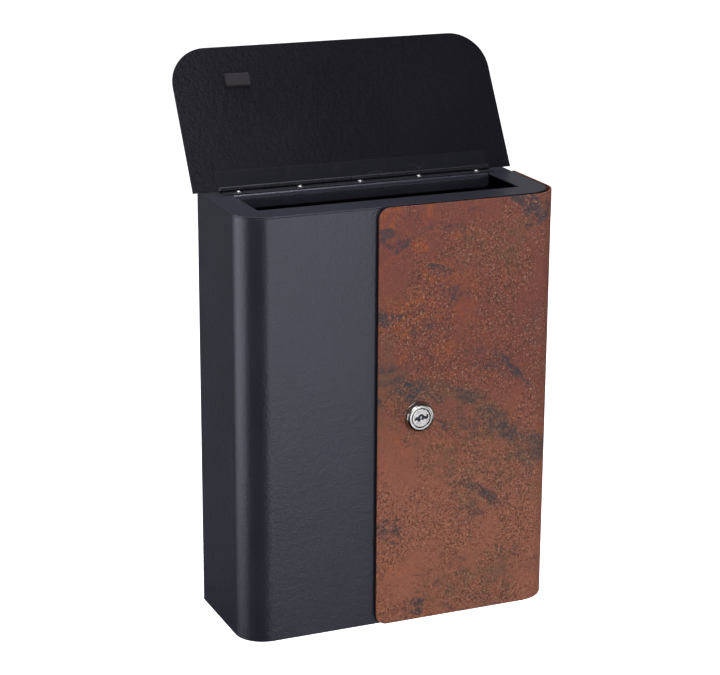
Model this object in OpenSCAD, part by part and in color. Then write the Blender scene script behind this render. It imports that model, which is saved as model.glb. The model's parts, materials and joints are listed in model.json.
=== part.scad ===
// Wall mounted mailbox with a hinged lid over the mail slot and a wrap round door.
// +Z is up, the front faces -Y and the wall plane is Y = 0.
// The origin is the centre of the four wall holes, on the back face.

/* [Case] */
// Width of the case
case_w = 307; // [260:1:420]
// Height of the case, rim included
case_h = 400; // [320:1:520]
// Depth of the case from the wall
case_d = 116; // [95:1:180]
// Radius of the two upright front corners
corner_r = 27.5; // [20:0.5:40]
// Thickness of the case sheet
sheet_t = 1.2; // [0.8:0.1:2]
// How far the base sits above the lower edge
base_recess = 2; // [0:0.5:10]
// Diameter of the drain holes in the base
drain_d = 6; // [3:0.5:10]
// Distance of the drain holes from the outside of the case
drain_inset = 30; // [15:1:50]

/* [Wall holes] */
// Distance between the wall holes across
wall_hole_x = 200; // [100:1:240]
// Distance between the wall holes up
wall_hole_z = 280; // [150:1:300]
// Diameter of the wall holes
wall_hole_d = 7; // [4:0.5:10]

/* [Slot rim] */
// Thickness of the rim plate
rim_t = 1.5; // [1:0.1:3]
// Width of the rim at the two sides
rim_side = 25; // [15:1:40]
// Width of the rim at the front
rim_front = 27; // [20:1:40]
// Flat width of the rim at the rear, up to its bend
rim_rear = 24.5; // [24.5:0.5:35]
// Outer radius of the bend into the tab
tab_bend_r = 4; // [2:0.5:8]
// How far the tab reaches below the rim
tab_drop = 12.5; // [10:0.5:30]
// Radius of the two lower corners of the tab
tab_corner_r = 4; // [1:0.5:6]
// Gap beside the tab at each end
tab_relief = 0.6; // [0.3:0.1:2]

/* [Lid] */
// Thickness of the lid
lid_t = 1.5; // [1:0.1:3]
// How far the lid stands past the case at each side
lid_side = 7; // [6:1:20]
// How far the lid stands past the front of the case
lid_front = 33; // [10:1:50]
// How far the rear edge of the shut lid stands behind the hinge axis
lid_lap = 0.4; // [0:0.1:0.4]
// Radius of the two front corners of the lid
lid_corner_r = 36.5; // [5:0.5:60]
// Angle from closed at which the open lid rests
lid_open = 120.2; // [0:0.1:120.2]
// Length of the lid pad
pad_w = 25; // [10:1:60]
// Width of the lid pad
pad_d = 13; // [6:1:20]
// How far the pad reaches past the front of the case
pad_lap = 5.4; // [0:0.1:8]
// Distance of the pad from the left end of the lid
pad_inset = 49.5; // [45:0.5:80]
// Gap left between the pad and the rim when the lid is shut
pad_clear = 0.3; // [0.3:0.1:1]

/* [Lid hinge] */
// Number of knuckles, an odd number
lid_knuckles = 19; // [9:2:21]
// Length of one knuckle with its gap
lid_pitch = 14.3; // [10:0.1:15]
// Outer diameter of the knuckles
lid_knuckle_d = 5; // [4:0.1:7]
// Thickness of the lid hinge leaves
lid_leaf_t = 0.8; // [0.5:0.1:1.2]
// Width of the leaf on the rim, from the hinge axis
rim_leaf_w = 13.5; // [12:0.5:13.5]
// Width of the leaf on the lid, from the hinge axis
lid_leaf_w = 17.5; // [12:0.5:20]
// Distance of the lid hinge axis from the wall plane
lid_axis_y = 10.8; // [6:0.1:10.9]
// Number of rivets along the lid hinge
lid_rivets = 5; // [3:1:9]
// Distance of the first and last rivets from the ends of the lid hinge
lid_rivet_end = 16; // [10:1:30]
// Distance from the hinge axis to the row of rivets
lid_rivet_row = 7.2; // [6.5:0.1:9]
// Height of the lid hinge rivet heads
lid_rivet_head_h = 1.4; // [0.8:0.1:1.6]

/* [Hinge details] */
// Radial running clearance of the hinge pins and the lock plug
run_clear = 0.05; // [0.02:0.01:0.1]
// Gap between neighbouring knuckles, and between a knuckle and the other leaf
knuckle_gap = 0.3; // [0.2:0.1:1]
// How much wider a peened pin head is than its pin
pin_head_grow = 0.8; // [0.4:0.1:1]
// Thickness of a peened pin head
pin_head_t = 0.6; // [0.3:0.1:1]
// Diameter of the rivet shanks
rivet_d = 3.2; // [2:0.1:4]
// Diameter of the rivet heads
rivet_head_d = 6; // [5:0.1:8]
// Diameter of the rivet tails
rivet_tail_d = 4.5; // [4.5:0.1:6]
// Height of the rivet tails
rivet_tail_h = 1.6; // [1:0.1:3]
// How much wider a rivet hole is than its shank
rivet_play = 0.1; // [0:0.05:0.3]

/* [Door] */
// Thickness of the door sheet
door_t = 1.5; // [1:0.1:2.5]
// Gap between the case and the door
door_gap = 3.5; // [3:0.1:6]
// Distance of the free edge of the door to the left of the middle
door_reach = 26; // [20:1:60]
// Gap between the hinge knuckles and the rear edge of the door
door_rear_gap = 0.75; // [0.5:0.05:3]
// Radius of the four door corners
door_corner_r = 11; // [2:1:25]
// How far the door stays inside the height of the case at each end
door_inset = 0.5; // [0.5:0.5:5]

/* [Door hinge] */
// Number of knuckles, an odd number
door_knuckles = 25; // [9:2:25]
// Length of one knuckle with its gap
door_pitch = 15; // [9:0.5:15]
// Thickness of the door hinge leaves
door_leaf_t = 0.7; // [0.4:0.1:0.9]
// Width of each leaf from the hinge axis
door_leaf_w = 15; // [12:0.5:20]
// Distance of the door hinge axis from the wall plane
door_axis_y = 10; // [9.5:0.5:10]
// Number of rivets along the door hinge
door_rivets = 6; // [3:1:9]
// Distance of the first and last rivets from the ends of the door hinge
door_rivet_end = 37.5; // [10:0.5:45]
// Distance from the hinge axis to the row of rivets
door_rivet_row = 8.5; // [7:0.5:9]
// Height of the door hinge rivet heads
door_rivet_head_h = 1.1; // [0.6:0.1:1.2]

/* [Mail opening] */
// Distance of the opening's left edge to the left of the middle
open_left = 6; // [2:1:12]
// Width of sheet kept between the opening and the corner bend
open_right_margin = 3; // [2:1:30]
// Height of the sheet kept above the opening
open_top_margin = 30; // [20:1:80]
// Height of the lip that keeps the mail in
open_lip = 56; // [30:1:100]
// Radius of the corners of the opening
open_corner_r = 8; // [2:1:15]

/* [Door buffers] */
// Diameter of the rubber buffers
buffer_d = 8; // [4:0.5:12]
// Gap left between a buffer and the shut door
buffer_clear = 0.3; // [0.3:0.1:1]
// Distance between neighbouring buffers
buffer_pitch = 105; // [60:1:120]
// Number of buffers
buffer_count = 4; // [2:1:4]

/* [Lock] */
// Distance of the lock to the right of the middle
lock_x = 15; // [12:1:20]
// Height of the lock above the middle of the case
lock_z = 1.5; // [-60:0.5:60]
// Diameter of the bezel where it meets the door
bezel_d = 29; // [25:0.5:32]
// Diameter of the flat face of the bezel
bezel_face_d = 23; // [20:0.5:24]
// How far the bezel stands proud of the door
bezel_h = 6; // [4:0.5:8]
// Diameter of the threaded barrel
barrel_d = 19; // [17:0.5:19]
// Length of the barrel behind the outer face of the door
barrel_len = 16; // [15.5:0.5:20]
// Diameter of the head of the plug
plug_head_d = 17.5; // [15:0.5:18]
// Depth of the head of the plug
plug_head_t = 3; // [2:0.5:4]
// How far the face of the plug sits behind the face of the bezel
plug_recess = 0.5; // [0.2:0.1:1]
// Diameter of the plug behind its head
plug_d = 13; // [10:0.5:13]
// Ring gap round the head of the plug
plug_head_gap = 0.5; // [0.3:0.1:1]
// Length of the keyway
key_len = 10; // [8:0.5:11]
// Width of the keyway
key_w = 2.2; // [1.5:0.1:3]
// How far the two halves of the keyway are offset
key_step = 1; // [0.5:0.1:2]
// Depth of the keyway
key_depth = 14; // [8:1:14]
// Length of the shutter in the keyway
shutter_len = 3.6; // [2:0.1:5]
// How far the shutter sits behind the face of the plug
shutter_recess = 0.8; // [0.3:0.1:2]
// Thickness of the shutter
shutter_t = 1; // [0.5:0.1:2]
// Thickness of the lock washer
lock_washer_t = 1; // [0.5:0.1:1.5]
// Diameter of the lock washer
lock_washer_d = 24; // [22:0.5:25]
// Width of the lock nut across its flats
lock_nut_w = 22; // [21:0.5:23]
// Thickness of the lock nut
lock_nut_t = 4; // [3:0.5:5]
// Play between the barrel and what is fitted over it
barrel_play = 0.1; // [0.05:0.05:0.5]

/* [Lock cam] */
// Distance from the lock axis to the end of the cam
cam_reach = 30; // [26:1:33]
// Width of the cam
cam_w = 14; // [12:0.5:16]
// Thickness of the cam
cam_t = 2; // [1.5:0.1:3]
// Gap between the barrel and the cam
cam_gap = 0.2; // [0.1:0.1:1]
// Side of the square boss that carries the cam
boss_w = 7; // [6:0.5:8]
// Play of the cam on its boss
boss_play = 0.1; // [0:0.05:0.3]
// Diameter of the cam screw
cam_screw_d = 4; // [3:0.5:5]
// Length of the cam screw's shank in the plug
cam_screw_len = 8; // [5:1:10]
// Diameter of the cam screw's head
cam_screw_head_d = 7.5; // [6:0.5:9]
// Height of the cam screw's head
cam_screw_head_h = 2.6; // [2:0.1:3]
// Width of the slot in the screw's head
screw_slot_w = 1.2; // [0.8:0.1:1.5]
// Diameter of the cam washer
cam_washer_d = 11; // [9:0.5:13]
// Thickness of the cam washer
cam_washer_t = 0.8; // [0.5:0.1:1.5]

/* [Cam keeper] */
// Height of the keeper
keeper_h = 40; // [30:1:60]
// Width of the keeper's welded flange
keeper_flange = 12; // [8:1:20]
// Width of the keeper's land
keeper_land = 13; // [10:1:13]
// Gap between the land and the cam
keeper_clear = 0.4; // [0.3:0.1:1]
// Distance of the land from the edge of the opening
keeper_edge = 1; // [0:0.5:3]

/* [Hidden] */
$fn = 64;

// A cut runs past the face it opens by this much
cut = 1;

// The case
case_top = case_h / 2;
case_bottom = -case_h / 2;
shell_top = case_top - rim_t;
shell_h = shell_top - case_bottom;
side_x = case_w / 2;
front_y = -case_d;
base_z = case_bottom + base_recess;

// The slot and its tab
slot_w = case_w - 2 * rim_side;
slot_front_y = front_y + rim_front;
tab_w = slot_w - 2 * tab_relief;
tab_flat_h = tab_drop - tab_bend_r;

// The lid hinge, with the lid resting on top of its knuckles and the pin filling the rolled leaves
lid_pin_d = lid_knuckle_d - 2 * lid_leaf_t - 2 * run_clear;
lid_axis_z = case_top + lid_knuckle_d / 2;
lid_under = lid_knuckle_d / 2;
lid_w = case_w + 2 * lid_side;
lid_len = case_d + lid_front - lid_axis_y + lid_lap;
lid_hinge_len = lid_knuckles * lid_pitch;
lid_rivet_pitch = (lid_hinge_len - 2 * lid_rivet_end) / (lid_rivets - 1);
pad_t = lid_knuckle_d - pad_clear;

// The door hinge, whose knuckles fill the gap between the case and the door
door_knuckle_d = door_gap;
door_pin_d = door_knuckle_d - 2 * door_leaf_t - 2 * run_clear;
door_axis_x = side_x + door_knuckle_d / 2;
door_hinge_len = door_knuckles * door_pitch;
door_rivet_pitch = (door_hinge_len - 2 * door_rivet_end) / (door_rivets - 1);
door_rear = door_axis_y + door_knuckle_d / 2 + door_rear_gap;
door_top = case_top - door_inset;
door_h = case_h - 2 * door_inset;
door_inner_y = front_y - door_gap;
door_outer_y = door_inner_y - door_t;
door_inner_x = side_x + door_gap;

// The mail opening behind the door
open_x0 = -open_left;
open_x1 = side_x - corner_r - open_right_margin;
open_z0 = case_bottom + open_lip;
open_z1 = case_top - open_top_margin;

// The lock, measured along its axis from the outer face of the door
barrel_end_y = door_outer_y + barrel_len;
cam_y = barrel_end_y + cam_gap;
cam_washer_y = cam_y + cam_t;
cam_screw_y = cam_washer_y + cam_washer_t;
plug_front_y = door_outer_y - bezel_h + plug_recess;

// The cam keeper
land_y = cam_y - keeper_clear - sheet_t;
land_x1 = open_x0 - keeper_edge;
land_x0 = land_x1 - keeper_land;

case_colour = "#444750";
rust_colour = "#8a5443";
hinge_colour = "#1d1e20";
steel_colour = "#c9cbcd";
zinc_colour = "#a9adb0";
rubber_colour = "#3a3733";

// Outline with a straight rear edge at Y = 0 and two rounded front corners
module front_rounded(w, d, r) {
    translate([-w / 2, r - d]) square([w, d - r]);
    translate([r - w / 2, -d]) square([w - 2 * r, d]);
    for (side = [-1, 1])
        translate([side * (w / 2 - r), r - d]) circle(r);
}

// Outline of the case, grown or shrunk at the sides and the front
module case_outline(grow) {
    front_rounded(case_w + 2 * grow, case_d + grow, corner_r + grow);
}

// Everything behind the line Y = y
module behind(y) {
    translate([-case_w, y]) square([2 * case_w, 2 * case_d]);
}

// Rectangle from one corner to the other with four equal rounded corners
module rounded_rect(x0, y0, x1, y1, r) {
    translate([x0, y0 + r]) square([x1 - x0, y1 - y0 - 2 * r]);
    translate([x0 + r, y0]) square([x1 - x0 - 2 * r, y1 - y0]);
    for (x = [x0 + r, x1 - r], y = [y0 + r, y1 - r])
        translate([x, y]) circle(r);
}

// What a rounded corner takes off a square one at the origin
module corner_waste(r) {
    difference() {
        translate([-cut, -cut]) square(r + cut);
        translate([r, r]) circle(r);
    }
}

// Turns a flat shape drawn across X and up Z into a solid from y0 to y1
module along_y(y0, y1) {
    translate([0, y1, 0]) rotate([90, 0, 0]) linear_extrude(y1 - y0) children();
}

// Turns a flat shape drawn back along Y and up Z into a solid of length w centred on X
module along_x(w) {
    translate([-w / 2, 0, 0]) rotate([90, 0, 90]) linear_extrude(w) children();
}

// Turns its children so that their +Z points along +Y, at the lock's axis
module on_lock_axis(y) {
    translate([lock_x, y, lock_z]) rotate([-90, 0, 0]) children();
}

// A round rod on the lock's axis from y0 to y1
module lock_rod(y0, y1, d) {
    on_lock_axis(y0) cylinder(h = y1 - y0, d = d);
}

// One leaf of a piano hinge with its knuckles, on an axis along X.
// The leaf runs to -Y under the knuckles, and first is 0 or 1 for the leaf with the end knuckles.
module hinge_leaf(count, pitch, first, knuckle_d, pin_d, leaf_t, leaf_w) {
    length = count * pitch;
    clear_y = knuckle_d / 2 + knuckle_gap;
    knuckle_len = pitch - knuckle_gap;
    difference() {
        union() {
            translate([-length / 2, -leaf_w, -knuckle_d / 2])
                cube([length, leaf_w - clear_y, leaf_t]);
            for (i = [first : 2 : count - 1])
                translate([i * pitch + knuckle_gap / 2 - length / 2, 0, 0]) {
                    translate([0, -clear_y, -knuckle_d / 2]) cube([knuckle_len, clear_y, leaf_t]);
                    rotate([0, 90, 0]) cylinder(h = knuckle_len, d = knuckle_d);
                }
        }
        translate([-length / 2 - cut, 0, 0]) rotate([0, 90, 0])
            cylinder(h = length + 2 * cut, d = pin_d + 2 * run_clear);
    }
}

// A hinge pin along X with a peened head at each end
module hinge_pin(count, pitch, pin_d) {
    length = count * pitch - knuckle_gap;
    rotate([0, 90, 0]) cylinder(h = length, d = pin_d, center = true);
    for (side = [-1, 1])
        translate([side * (length + pin_head_t) / 2, 0, 0]) rotate([0, 90, 0])
            cylinder(h = pin_head_t, d = pin_d + pin_head_grow, center = true);
}

// A pop rivet with its domed head above Z = 0 and its tail under a stack of sheets
module rivet(head_h, grip) {
    dome_r = (pow(rivet_head_d / 2, 2) + pow(head_h, 2)) / (2 * head_h);
    intersection() {
        translate([0, 0, head_h - dome_r]) sphere(dome_r);
        cylinder(h = head_h, d = rivet_head_d);
    }
    translate([0, 0, -grip]) cylinder(h = grip, d = rivet_d);
    translate([0, 0, -grip - rivet_tail_h]) cylinder(h = rivet_tail_h, d = rivet_tail_d);
}

// Places its children at each rivet of the lid hinge, on the upper face of the leaf
module at_lid_rivets() {
    for (i = [0 : lid_rivets - 1])
        translate([(i - (lid_rivets - 1) / 2) * lid_rivet_pitch, -lid_axis_y - lid_rivet_row,
                   case_top + lid_leaf_t])
            children();
}

// Places its children at each rivet of the door hinge, with +Z pointing out of the leaf
module at_door_rivets() {
    for (i = [0 : door_rivets - 1])
        translate([side_x + door_leaf_t, -door_axis_y - door_rivet_row,
                   (i - (door_rivets - 1) / 2) * door_rivet_pitch])
            rotate([0, 90, 0]) children();
}

// A drilled hole for a rivet whose head faces +Z
module rivet_hole() {
    depth = lid_leaf_t + rim_t + cut;
    translate([0, 0, -depth]) cylinder(h = depth + cut, d = rivet_d + 2 * rivet_play);
}

module on_lid_hinge() {
    translate([0, -lid_axis_y, lid_axis_z]) children();
}

// Places what is drawn for a shut lid at the angle where the open lid rests
module on_open_lid() {
    on_lid_hinge() rotate([-lid_open, 0, 0]) children();
}

module on_door_hinge() {
    translate([door_axis_x, -door_axis_y, 0]) rotate([0, 90, 0]) children();
}

// Sides and front of the case in one bent sheet, with the mail opening in the front
module case_shell() {
    color(case_colour) difference() {
        translate([0, 0, case_bottom]) linear_extrude(shell_h) difference() {
            case_outline(0);
            case_outline(-sheet_t);
            behind(-sheet_t);
        }
        along_y(front_y - cut, front_y + sheet_t + cut)
            rounded_rect(open_x0, open_z0, open_x1, open_z1, open_corner_r);
        at_door_rivets() rivet_hole();
    }
}

module case_back() {
    color(case_colour) difference() {
        translate([-side_x, -sheet_t, case_bottom]) cube([case_w, sheet_t, shell_h]);
        for (x = [-1, 1], z = [-1, 1])
            translate([x * wall_hole_x / 2, -sheet_t - cut, z * wall_hole_z / 2]) rotate([-90, 0, 0])
                cylinder(h = sheet_t + 2 * cut, d = wall_hole_d);
    }
}

module case_base() {
    color(case_colour) translate([0, 0, base_z]) difference() {
        linear_extrude(sheet_t) difference() {
            case_outline(-sheet_t);
            behind(-sheet_t);
        }
        for (x = [-1, 1], y = [-drain_inset, drain_inset - case_d])
            translate([x * (side_x - drain_inset), y, -cut])
                cylinder(h = sheet_t + 2 * cut, d = drain_d);
    }
}

// Top plate with the mail slot, whose rear strip is bent down into a tab
module slot_rim() {
    color(case_colour) {
        difference() {
            translate([0, 0, shell_top]) linear_extrude(rim_t) difference() {
                case_outline(0);
                translate([-slot_w / 2, slot_front_y])
                    square([slot_w, -rim_rear - slot_front_y]);
            }
            at_lid_rivets() rivet_hole();
        }
        along_x(tab_w) translate([-rim_rear, case_top - tab_bend_r]) difference() {
            circle(tab_bend_r);
            circle(tab_bend_r - rim_t);
            translate([0, -tab_bend_r]) square([tab_bend_r, 2 * tab_bend_r]);
            translate([-tab_bend_r, -tab_bend_r]) square([2 * tab_bend_r, tab_bend_r]);
        }
        tab_front_y = -rim_rear - tab_bend_r;
        difference() {
            translate([-tab_w / 2, tab_front_y, case_top - tab_drop])
                cube([tab_w, rim_t, tab_flat_h]);
            for (side = [0, 1])
                mirror([side, 0, 0]) along_y(tab_front_y - cut, tab_front_y + rim_t + cut)
                    translate([-tab_w / 2, case_top - tab_drop]) corner_waste(tab_corner_r);
        }
    }
}

// Z shaped bracket behind the left edge of the mail opening, which the cam turns behind
module cam_keeper() {
    inner_y = front_y + sheet_t;
    color(case_colour) translate([0, 0, lock_z - keeper_h / 2]) linear_extrude(keeper_h) {
        translate([land_x0 - keeper_flange, inner_y]) square([keeper_flange, sheet_t]);
        translate([land_x0, inner_y]) square([sheet_t, land_y + sheet_t - inner_y]);
        translate([land_x0, land_y]) square([keeper_land, sheet_t]);
    }
}

module lid_hinge_case_leaf() {
    color(hinge_colour) difference() {
        on_lid_hinge() hinge_leaf(lid_knuckles, lid_pitch, 0, lid_knuckle_d, lid_pin_d,
                                  lid_leaf_t, rim_leaf_w);
        at_lid_rivets() rivet_hole();
    }
}

module lid_hinge_pin() {
    color(steel_colour) on_lid_hinge() hinge_pin(lid_knuckles, lid_pitch, lid_pin_d);
}

module lid_hinge_rivets() {
    color(steel_colour) at_lid_rivets() rivet(lid_rivet_head_h, lid_leaf_t + rim_t);
}

module door_hinge_case_leaf() {
    color(hinge_colour) difference() {
        on_door_hinge() hinge_leaf(door_knuckles, door_pitch, 0, door_knuckle_d, door_pin_d,
                                   door_leaf_t, door_leaf_w);
        at_door_rivets() rivet_hole();
    }
}

module door_hinge_pin() {
    color(steel_colour) on_door_hinge() hinge_pin(door_knuckles, door_pitch, door_pin_d);
}

module door_hinge_rivets() {
    color(steel_colour) at_door_rivets() rivet(door_rivet_head_h, door_leaf_t + sheet_t);
}

// Rubber discs on the case, halfway between the door's free edge and the mail opening
module door_buffers() {
    middle_x = (open_x0 - door_reach) / 2;
    color(rubber_colour) for (i = [0 : buffer_count - 1])
        translate([middle_x, front_y, (i - (buffer_count - 1) / 2) * buffer_pitch])
            rotate([90, 0, 0]) cylinder(h = door_gap - buffer_clear, d = buffer_d);
}

module lid_plate() {
    color(case_colour) on_open_lid() translate([0, lid_lap, lid_under])
        linear_extrude(lid_t) front_rounded(lid_w, lid_len, lid_corner_r);
}

module lid_hinge_lid_leaf() {
    color(hinge_colour) on_open_lid() mirror([0, 0, 1])
        hinge_leaf(lid_knuckles, lid_pitch, 1, lid_knuckle_d, lid_pin_d, lid_leaf_t, lid_leaf_w);
}

// Rubber pad under the lid, which lands on the front edge of the rim
module lid_pad() {
    color(rubber_colour) on_open_lid()
        translate([pad_inset - lid_w / 2, front_y - pad_lap + lid_axis_y, lid_under - pad_t])
            cube([pad_w, pad_d, pad_t]);
}

// Door sheet, bent round the front right corner and standing off the case
module door_panel() {
    color(rust_colour) difference() {
        translate([0, 0, case_bottom + door_inset]) linear_extrude(door_h) difference() {
            case_outline(door_gap + door_t);
            case_outline(door_gap);
            behind(-door_rear);
            translate([-case_w, -2 * case_d]) square([case_w - door_reach, 2 * case_d]);
        }
        for (side = [0, 1]) mirror([0, 0, side]) {
            along_y(door_outer_y - cut, door_inner_y + cut)
                translate([-door_reach, -door_top]) corner_waste(door_corner_r);
            translate([door_inner_x + door_t / 2, 0, 0]) along_x(door_t + 2 * cut)
                translate([-door_rear, -door_top]) mirror([1, 0]) corner_waste(door_corner_r);
        }
        lock_rod(door_outer_y - cut, door_inner_y + cut, barrel_d + 2 * barrel_play);
    }
}

module door_hinge_door_leaf() {
    color(hinge_colour) on_door_hinge() mirror([0, 0, 1])
        hinge_leaf(door_knuckles, door_pitch, 1, door_knuckle_d, door_pin_d,
                   door_leaf_t, door_leaf_w);
}

// Bezel and barrel of the lock, bored for the plug and its wider head
module lock_housing() {
    bezel_front_y = door_outer_y - bezel_h;
    slope = (bezel_d - bezel_face_d) / 2;
    color(steel_colour) difference() {
        union() {
            on_lock_axis(bezel_front_y) rotate_extrude() {
                translate([0, slope]) square([bezel_d / 2, bezel_h - slope]);
                square([bezel_face_d / 2, bezel_h]);
                translate([bezel_face_d / 2, slope]) circle(slope);
            }
            lock_rod(door_outer_y, barrel_end_y, barrel_d);
        }
        lock_rod(bezel_front_y - cut, barrel_end_y + cut, plug_d + 2 * run_clear);
        lock_rod(bezel_front_y - cut, plug_front_y + plug_head_t + plug_head_gap,
                 plug_head_d + 2 * plug_head_gap);
    }
}

module lock_washer() {
    color(zinc_colour) difference() {
        lock_rod(door_inner_y, door_inner_y + lock_washer_t, lock_washer_d);
        lock_rod(door_inner_y - cut, door_inner_y + lock_washer_t + cut,
                 barrel_d + 2 * barrel_play);
    }
}

module lock_nut() {
    nut_y = door_inner_y + lock_washer_t;
    color(zinc_colour) difference() {
        on_lock_axis(nut_y) cylinder(h = lock_nut_t, d = lock_nut_w / cos(30), $fn = 6);
        lock_rod(nut_y - cut, nut_y + lock_nut_t + cut, barrel_d + 2 * barrel_play);
    }
}

// Keyway in two halves that are offset to either side of the middle
module keyway_outline() {
    for (side = [-1, 1])
        translate([side * key_len / 4, side * key_step / 2])
            square([key_len / 2 + key_step, key_w], center = true);
}

module lock_plug() {
    color(steel_colour) difference() {
        union() {
            lock_rod(plug_front_y, plug_front_y + plug_head_t, plug_head_d);
            lock_rod(plug_front_y, barrel_end_y, plug_d);
            on_lock_axis(barrel_end_y) translate([-boss_w / 2, -boss_w / 2, 0])
                cube([boss_w, boss_w, cam_washer_y - barrel_end_y]);
        }
        on_lock_axis(plug_front_y - cut) linear_extrude(key_depth + cut) keyway_outline();
        lock_rod(cam_washer_y - cam_screw_len, cam_washer_y + cut, cam_screw_d);
    }
}

module keyway_shutter() {
    color(zinc_colour) on_lock_axis(plug_front_y + shutter_recess) linear_extrude(shutter_t)
        intersection() {
            keyway_outline();
            square([shutter_len, key_w + key_step], center = true);
        }
}

// Cam pointing down at rest, with a square hole for the boss and a rounded end
module lock_cam() {
    color(zinc_colour) on_lock_axis(cam_y) linear_extrude(cam_t) difference() {
        union() {
            circle(cam_w / 2);
            translate([-cam_w / 2, 0]) square([cam_w, cam_reach - cam_w / 2]);
            translate([0, cam_reach - cam_w / 2]) circle(cam_w / 2);
        }
        square(boss_w + 2 * boss_play, center = true);
    }
}

module cam_washer() {
    color(zinc_colour) difference() {
        lock_rod(cam_washer_y, cam_screw_y, cam_washer_d);
        lock_rod(cam_washer_y - cut, cam_screw_y + cut, cam_screw_d + 2 * barrel_play);
    }
}

module cam_screw() {
    color(zinc_colour) difference() {
        union() {
            lock_rod(cam_washer_y - cam_screw_len, cam_screw_y, cam_screw_d);
            lock_rod(cam_screw_y, cam_screw_y + cam_screw_head_h, cam_screw_head_d);
        }
        on_lock_axis(cam_screw_y + cam_screw_head_h / 2)
            translate([-cam_screw_head_d, -screw_slot_w / 2, 0])
                cube([2 * cam_screw_head_d, screw_slot_w, cam_screw_head_h]);
    }
}

case_shell();
case_back();
case_base();
slot_rim();
cam_keeper();
lid_hinge_case_leaf();
lid_hinge_pin();
lid_hinge_rivets();
door_hinge_case_leaf();
door_hinge_pin();
door_hinge_rivets();
door_buffers();
lid_plate();
lid_hinge_lid_leaf();
lid_pad();
door_panel();
door_hinge_door_leaf();
lock_housing();
lock_washer();
lock_nut();
lock_plug();
keyway_shutter();
lock_cam();
cam_washer();
cam_screw();
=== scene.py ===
"""Wall mounted mailbox: its visible pieces, their finishes, the studio and the camera."""

import json
import logging
import math
from collections.abc import Callable, Sequence
from dataclasses import dataclass
from enum import Enum

import bmesh
import bpy
from mathutils import Matrix, Vector


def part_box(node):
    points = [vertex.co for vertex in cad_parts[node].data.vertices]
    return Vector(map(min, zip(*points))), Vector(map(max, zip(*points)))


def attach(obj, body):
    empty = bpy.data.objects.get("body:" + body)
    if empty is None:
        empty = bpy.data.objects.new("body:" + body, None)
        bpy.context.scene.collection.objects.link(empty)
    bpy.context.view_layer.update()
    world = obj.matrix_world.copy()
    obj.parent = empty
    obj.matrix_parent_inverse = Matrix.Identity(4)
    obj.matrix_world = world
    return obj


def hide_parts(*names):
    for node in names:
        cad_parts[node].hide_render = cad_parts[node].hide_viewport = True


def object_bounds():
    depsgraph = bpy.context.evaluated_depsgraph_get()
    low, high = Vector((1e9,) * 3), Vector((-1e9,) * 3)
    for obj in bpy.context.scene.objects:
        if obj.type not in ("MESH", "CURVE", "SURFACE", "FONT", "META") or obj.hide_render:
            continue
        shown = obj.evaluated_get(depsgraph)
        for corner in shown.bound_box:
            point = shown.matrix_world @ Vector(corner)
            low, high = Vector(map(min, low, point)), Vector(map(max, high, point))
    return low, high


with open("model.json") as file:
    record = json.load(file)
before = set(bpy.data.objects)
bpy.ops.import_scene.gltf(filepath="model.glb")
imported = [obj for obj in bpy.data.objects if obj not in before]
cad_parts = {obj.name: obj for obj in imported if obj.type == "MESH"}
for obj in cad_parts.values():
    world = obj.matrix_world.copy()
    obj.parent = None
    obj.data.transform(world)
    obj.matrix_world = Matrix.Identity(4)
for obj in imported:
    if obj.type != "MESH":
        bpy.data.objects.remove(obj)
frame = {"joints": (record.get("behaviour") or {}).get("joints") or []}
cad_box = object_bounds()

Point = tuple[float, float]
Place = tuple[float, float, float]
Colour = tuple[float, float, float, float]

MM = 0.001
LOOK = "_look"
log = logging.getLogger("mailbox")


class Body(Enum):
    """The moving bodies of the mailbox."""

    CASE = "case"
    LID = "lid"
    DOOR = "door"
    LOCK = "lock_core"


# ---- shader graphs


def shade(code: str) -> Colour:
    """Turns a colour written as #rrggbb into linear red, green, blue and alpha.

    Args:
        code: The colour as a maker's colour code.

    Returns:
        The four linear channels.
    """
    channels = [int(code[start:start + 2], 16) / 255 for start in (1, 3, 5)]
    linear = [c / 12.92 if c <= 0.04045 else ((c + 0.055) / 1.055) ** 2.4 for c in channels]
    return (linear[0], linear[1], linear[2], 1.0)


def operator(operation: str, swapped: bool = False) -> Callable:
    """One arithmetic operator between a Value and another Value or a number.

    Args:
        operation: What its Math node does.
        swapped: Whether the Value stands on the right of the operator.

    Returns:
        The method for the Value class.
    """
    def apply(left: "Value", right: "Value | float") -> "Value":
        """Adds the Math node."""
        first, second = (right, left) if swapped else (left, right)
        return left.graph.node("ShaderNodeMath", {"operation": operation}, {0: first, 1: second})

    return apply


@dataclass(frozen=True)
class Value:
    """One output of a shader graph, which takes part in plain arithmetic."""

    graph: "Graph"
    socket: bpy.types.NodeSocket

    __add__ = operator("ADD")
    __radd__ = operator("ADD", swapped=True)
    __sub__ = operator("SUBTRACT")
    __rsub__ = operator("SUBTRACT", swapped=True)
    __mul__ = operator("MULTIPLY")
    __rmul__ = operator("MULTIPLY", swapped=True)

    def between(self, low: float, high: float) -> "Value":
        """Smooth step from 0 at low to 1 at high."""
        return self.graph.node("ShaderNodeMapRange", {"interpolation_type": "SMOOTHSTEP"},
                               {"Value": self, "From Min": low, "From Max": high})


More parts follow.
